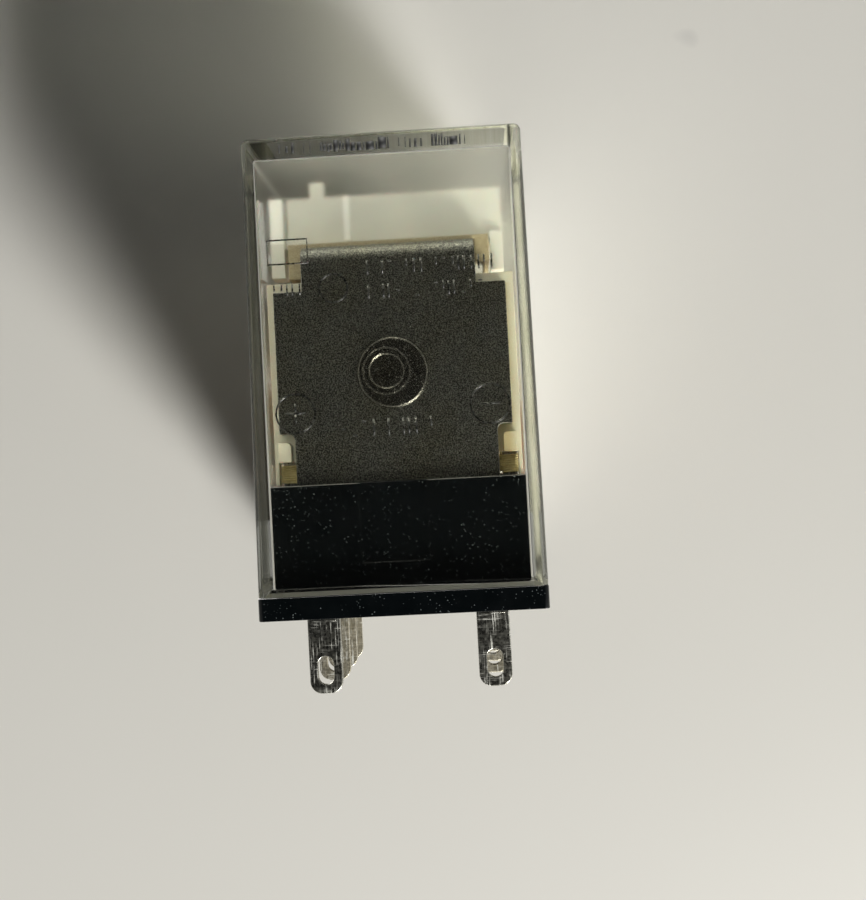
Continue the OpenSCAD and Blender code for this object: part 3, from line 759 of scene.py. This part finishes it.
def make_cover():
    """The shell with its rounded edges, lead-in and latch grooves, and the marks on its front."""
    bm = bmesh.new()
    low_half = Vector((HIGH_COVER.x, HIGH_COVER.y))
    high_half = low_half - Vector((COVER_DRAFT, COVER_DRAFT))
    outer = shell_box(bm, low_half, high_half, LOW_COVER.z, HIGH_COVER.z)
    inner = shell_box(bm, CAVITY_HALF, CAVITY_HALF, LOW_COVER.z, CAVITY_TOP)
    for v in inner:
        v.co.z += LEAD_IN
    rim = []
    for v in inner:
        x, y = (c + math.copysign(LEAD_IN, c) for c in (v.co.x, v.co.y))
        rim.append(bm.verts.new((x, y, LOW_COVER.z)))
    for k in range(4):
        n = (k + 1) % 4
        bm.faces.new((outer[n], outer[k], rim[k], rim[n]))
        bm.faces.new((rim[n], rim[k], inner[k], inner[n]))
    bmesh.ops.recalc_face_normals(bm, faces=bm.faces)
    tiny = 1e-6
    floor = LOW_COVER.z + tiny
    near_ceiling = CAVITY_TOP - 0.5 * MM

    def is_outer(e):
        return min(abs(v.co.x) for v in e.verts) > CAVITY_HALF.x + 0.1 * MM

    def stands(e):
        return abs(e.verts[0].co.z - e.verts[1].co.z) > 1 * MM

    bevel_where(bm, lambda e: is_outer(e) and (stands(e) or min(v.co.z for v in e.verts) > floor), EDGE_R, 6)

    def inner_edge(e):
        ends = [v.co for v in e.verts]
        inside = all(abs(c.x) < CAVITY_HALF.x + tiny and abs(c.y) < CAVITY_HALF.y + tiny for c in ends)
        lowest = min(c.z for c in ends)
        return inside and lowest < CAVITY_TOP + tiny and (stands(e) or lowest > near_ceiling)

    bevel_where(bm, inner_edge, 0.22 * MM, 3)
    bevel_where(bm, lambda e: all(v.co.z < floor for v in e.verts), 0.05 * MM, 2)
    cover = place_piece("cover_shell", to_mesh(bm, "cover_shell"), "cover", "clear_plastic", "cover")
    cut_latch_grooves(cover)
    weigh = cover.modifiers.new("normals", "WEIGHTED_NORMAL")
    weigh.weight = 100
    bake_modifiers(cover)
    marks = place_piece("cover_marks", ridge_marks(), "cover", "clear_plastic")
    marks.data.materials[0] = dark_painted_line()


def make_top_print():
    """Generic print: plain upright bars along the top edge of the front face."""
    rng = random.Random(11)
    bm = bmesh.new()
    ink = 0.012 * MM
    x = -7.6
    while x < 6.3:
        crowded = -5.2 < x < 0 or 3.6 < x < 5.6
        width = rng.choice((0.14, 0.2, 0.34, 0.6) if crowded else (0.08, 0.12, 0.2))
        foot, head = rng.choice((34.56, 34.56, 34.7)), rng.choice((35.2, 35.35, 35.45))
        front = front_of_cover(head * MM) - ink / 2
        add_box(bm, Vector((x * MM, front, foot * MM)), Vector(((x + width) * MM, front + ink, head * MM)))
        x += width + rng.choice((0.05, 0.08, 0.12) if crowded else (0.25, 0.4, 0.7))
    piece = place_piece("top_print", to_mesh(bm, "top_print"), "cover", "black_plastic")
    piece.data.materials[0] = print_ink()


# ---------------------------------------------------------------- coil, core and leads


HEAD_R = 2.72     # in millimetres, as the profile's points are
PUNCH_X = -0.45 * MM
PUNCH_Z = COIL_Z + 0.12 * MM
PUNCH_R = 1.32 * MM


def make_core():
    """Core with its staked head: a rolled-over rim, and the off-centre dimple and ring of the punch."""
    low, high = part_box("core")
    face = low.y

    def at(radius, deep):
        return (radius * MM, face + deep * MM)

    shaft = -10.66 * MM
    disc = high.y - 0.7 * MM
    profile = [
        at(0, 0.035), at(2.2, 0.035), at(2.38, 0.02), at(2.46, 0), at(2.52, 0.005), at(2.6, 0.05),
        at(2.68, 0.13), at(HEAD_R, 0.24), at(HEAD_R, 0.33), at(2.3, 0.34), at(2.3, 0.4),
        (2.3 * MM, shaft), (3.2 * MM, shaft), (3.3 * MM, shaft + 0.1 * MM),
        (3.3 * MM, disc), (4.5 * MM, disc), (4.6 * MM, disc + 0.1 * MM),
        (4.6 * MM, high.y - 0.1 * MM), (4.5 * MM, high.y), (0, high.y),
    ]
    piece = place_piece(
        "core_shape", to_mesh(revolve(profile, 0, COIL_Z), "core_shape"), "frame", "plated_steel", "core",
    )
    dimple = revolve([
        (0, face - 1 * MM), (PUNCH_R + 0.03 * MM, face - 1 * MM), (PUNCH_R + 0.03 * MM, face + 0.035 * MM),
        (PUNCH_R, face + 0.06 * MM), (PUNCH_R - 0.08 * MM, face + 0.115 * MM),
        (PUNCH_R - 0.2 * MM, face + 0.13 * MM), (0, face + 0.12 * MM),
    ], PUNCH_X, PUNCH_Z, 72)
    groove = revolve([
        (1.68 * MM, face - 1 * MM), (1.68 * MM, face + 0.035 * MM), (1.75 * MM, face + 0.06 * MM),
        (1.82 * MM, face + 0.035 * MM), (1.82 * MM, face - 1 * MM), (1.68 * MM, face - 1 * MM),
    ], PUNCH_X, PUNCH_Z, 72)
    for name, cutter in (("dimple", dimple), ("groove", groove)):
        bmesh.ops.remove_doubles(cutter, verts=cutter.verts, dist=1e-7)
        cut_away(piece, name, cutter)
    mark_sharp(piece, 50)
    piece.data.materials[0] = zinc_plate(
        "staked_steel", (0.14, 0.138, 0.125), (0.38, 0.37, 0.33), 0.2, 0.03 * MM,
    )


def make_winding():
    """Winding with its turns as ridges."""
    low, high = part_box("coil_winding")
    pitch = 0.24 * MM
    wire = 0.11 * MM
    profile = [(COIL_BARREL_R, low.y)]
    turns = int((high.y - low.y) / pitch)
    for k in range(turns):
        y = low.y + (high.y - low.y) * k / turns
        step = (high.y - low.y) / turns
        profile += [
            (COIL_OUT_R - wire, y), (COIL_OUT_R - 0.3 * wire, y + 0.2 * step),
            (COIL_OUT_R, y + 0.5 * step), (COIL_OUT_R - 0.3 * wire, y + 0.8 * step),
        ]
    profile += [(COIL_OUT_R - wire, high.y), (COIL_BARREL_R, high.y)]
    mesh = to_mesh(revolve(profile, 0, COIL_Z, 72), "coil_winding_shape")
    place_piece("coil_winding_shape", mesh, "frame", "enamelled_wire", "coil_winding")


def make_tape():
    """Film wrapped once and a quarter round the winding, with its loose end showing as a step."""
    low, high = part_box("coil_tape")
    inside = COIL_OUT_R + 0.02 * MM
    film = 0.05 * MM
    bm = bmesh.new()
    steps = 120
    sweep = 2 * math.pi * 1.2
    start = math.radians(200)
    rows = []
    for k in range(steps + 1):
        a = start + sweep * k / steps
        lift = film * min(1, max(0, (k / steps * 1.2 - 0.95) / 0.08))
        row = []
        for y, r in ((low.y, 0), (high.y, 0), (high.y, film), (low.y, film)):
            radius = inside + lift + r
            row.append(bm.verts.new((radius * math.cos(a), y, COIL_Z + radius * math.sin(a))))
        rows.append(row)
    for one, two in zip(rows, rows[1:]):
        for s in range(4):
            n = (s + 1) % 4
            bm.faces.new((one[s], one[n], two[n], two[s]))
    bm.faces.new(rows[0])
    bm.faces.new(rows[-1])
    piece = place_piece("coil_tape_shape", to_mesh(bm, "coil_tape_shape"), "frame", "amber_tape", "coil_tape")
    for face in piece.data.polygons:
        face.use_smooth = abs(face.normal.y) < 0.5
    mark_sharp(piece)


def mark_sharp(piece, angle=40):
    """Keeps edges sharper than the angle crisp in a smooth-shaded mesh."""
    bm = bmesh.new()
    bm.from_mesh(piece.data)
    for e in bm.edges:
        e.smooth = len(e.link_faces) == 2 and e.calc_face_angle() < math.radians(angle)
    bm.to_mesh(piece.data)
    bm.free()


def make_coil_lead(name, side):
    """Wire end wound in close turns round the terminal's tag, then run back to the winding."""
    low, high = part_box("coil_lead_" + name)
    wire_r = 0.1 * MM
    turns = 8
    middle = (low + high) / 2
    half_x = (high.x - low.x) / 2 - wire_r
    half_y = (high.y - low.y) / 2 - wire_r
    points = []
    for k in range(turns * 4 + 1):
        x, y = CORNERS[k % 4]
        z = low.z + wire_r + (high.z - low.z - 2 * wire_r) * k / (turns * 4)
        points.append(Vector((middle.x + side * x * half_x, middle.y + y * half_y, z)))
    coil_end = Vector((side * 6.1 * MM, -8.2 * MM, COIL_Z - 3.9 * MM))
    points.append(Vector((side * 7.6 * MM, -8.6 * MM, 12.6 * MM)))
    points.append(coil_end)
    bm = bmesh.new()
    add_tube(bm, smooth_path(points, 4), wire_r, 8)
    wire = place_piece(
        f"coil_lead_{name}_shape", to_mesh(bm, "coil_lead"), "frame", "enamelled_wire", "coil_lead_" + name,
    )
    PALE_PIECES.objects.link(wire)


LEAD_POINTS = (
    (7.6, -2.55, 8.3), (7.75, -1.9, 8.35), (8.1, -1.1, 8.5), (8.5, -0.2, 8.75), (8.7, 0.9, 9.1),
    (8.8, 2.1, 9.55), (8.85, 3.4, 10.1), (8.85, 4.7, 10.8), (8.85, 5.9, 11.65), (8.85, 7.0, 12.6),
    (8.85, 8.0, 13.6), (8.8, 8.9, 14.5), (8.65, 9.8, 15.2), (8.35, 10.5, 15.65), (7.95, 10.8, 15.85),
    (7.5, 10.85, 15.9),
)
LEAD_R = 0.45 * MM


def make_flex_lead(name, side):
    """Braided copper lead: strands wind both ways round it and cross over and under."""
    points = [Vector((side * x, y, z)) * MM for x, y, z in LEAD_POINTS]
    core = smooth_path(points, 7)
    count = len(core)
    strands, twists, strand_r, weave = 6, 9, 0.095 * MM, 0.06 * MM
    bm = bmesh.new()
    sides = []
    sideways = None
    for k in range(count):
        ahead = (core[min(k + 1, count - 1)] - core[max(k - 1, 0)]).normalized()
        sideways = sideways or ahead.orthogonal().normalized()
        sideways = (sideways - ahead * sideways.dot(ahead)).normalized()
        sides.append((sideways, ahead.cross(sideways)))
    for way in (1, -1):
        for s in range(strands):
            path = []
            for k, point in enumerate(core):
                along = k / (count - 1)
                a = 2 * math.pi * (s / strands + way * twists * along)
                wave = 2 * math.pi * strands * twists * along + math.pi * (s + (way > 0))
                r = LEAD_R - strand_r - weave + weave * math.cos(wave)
                u, v = sides[k]
                path.append(point + r * (math.cos(a) * u + math.sin(a) * v))
            add_tube(bm, path, strand_r, 5)
    add_tube(bm, core, LEAD_R - 0.2 * MM, 8)
    piece = place_piece(
        f"flex_lead_{name}_shape", to_mesh(bm, "flex_lead"), None, "copper_braid", "flex_lead_" + name,
    )
    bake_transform(piece)


def add_slug(name, low, high, body):
    """A copper slug with pressed, rounded edges."""
    slug = place_piece(name, to_mesh(add_box(bmesh.new(), low, high), "weld"), body, "copper_braid")
    soften_edges(slug, 0.2 * MM, 3)


def make_lead_welds(name, side):
    """Pressed copper slugs where a lead is welded to its blade and its spring."""
    _, blade_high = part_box("common_terminal_" + name)
    first, last = (Vector((side * p[0], p[1], p[2])) * MM for p in (LEAD_POINTS[0], LEAD_POINTS[-1]))
    low = Vector((first.x - 0.55 * MM, blade_high.y, first.z - 0.6 * MM))
    high = Vector((first.x + 0.55 * MM, first.y + 0.3 * MM, first.z + 0.6 * MM))
    add_slug(f"blade_weld_{name}", low, high, "frame")
    low = Vector((last.x - 0.6 * MM, last.y - 0.72 * MM, last.z - 0.55 * MM))
    high = Vector((last.x + 0.6 * MM, last.y + 0.35 * MM, last.z + 0.55 * MM))
    add_slug(f"spring_weld_{name}", low, high, "armature")


def make_witness_line(name, side, blade):
    """Fine raised line that the stamping die left across a coil blade, just under the flange."""
    low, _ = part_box("coil_terminal_" + name)
    middle = side * COLUMN_X
    half = 0.95 * MM
    bm = add_box(
        bmesh.new(), Vector((middle - half, low.y - 0.025 * MM, -0.78 * MM)),
        Vector((middle + half, low.y + 0.05 * MM, -0.68 * MM)),
    )
    line = place_piece(f"witness_line_{name}", to_mesh(bm, "witness_line"), "frame", "terminal_metal")
    line.data.materials[0] = blade.data.materials[0]
    soften_edges(line, 0.02 * MM)


# ---------------------------------------------------------------- all pieces

# A darker copy of the tin, given to the coil blades.
DARKER_TIN = tinned_metal("darker_tin", (0.26, 0.26, 0.235), (0.48, 0.475, 0.43), 0.3)
EDGE_WIDTHS = {
    "base": 0.09, "bobbin": 0.1, "arc_barrier": 0.12, "carrier": 0.15, "insulator": 0.05, "yoke": 0.08,
    "armature": 0.08, "hinge_rivets": 0.12, "armature_rivets": 0.12,
    "moving_spring_left": 0.03, "moving_spring_right": 0.03,
}
BLADES = ("coil_terminal", "common_terminal", "open_terminal", "closed_terminal")
BUTTONS = ("open_contact", "closed_contact", "moving_contact")


def make_pieces():
    for node, width in EDGE_WIDTHS.items():
        piece = polish(node, width * MM)
        if node in ("arc_barrier", "insulator", "bobbin"):
            PALE_PIECES.objects.link(piece)
    for name, side in SIDES:
        for kind in BLADES:
            piece = polish(f"{kind}_{name}", (0.07 if kind == "coil_terminal" else 0.1) * MM)
            if kind == "coil_terminal":
                piece.data.materials[0] = DARKER_TIN
                make_witness_line(name, side, piece)
        for kind in BUTTONS:
            polish(f"{kind}_{name}", 0.06 * MM)
        make_coil_lead(name, side)
        make_flex_lead(name, side)
        make_lead_welds(name, side)
    leaf = polish("hinge_spring", 0.03 * MM, ride=False)
    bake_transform(leaf)
    make_core()
    make_winding()
    make_tape()
    make_cover()
    make_top_print()


add_camera()
add_lights()
add_table()
make_pieces()
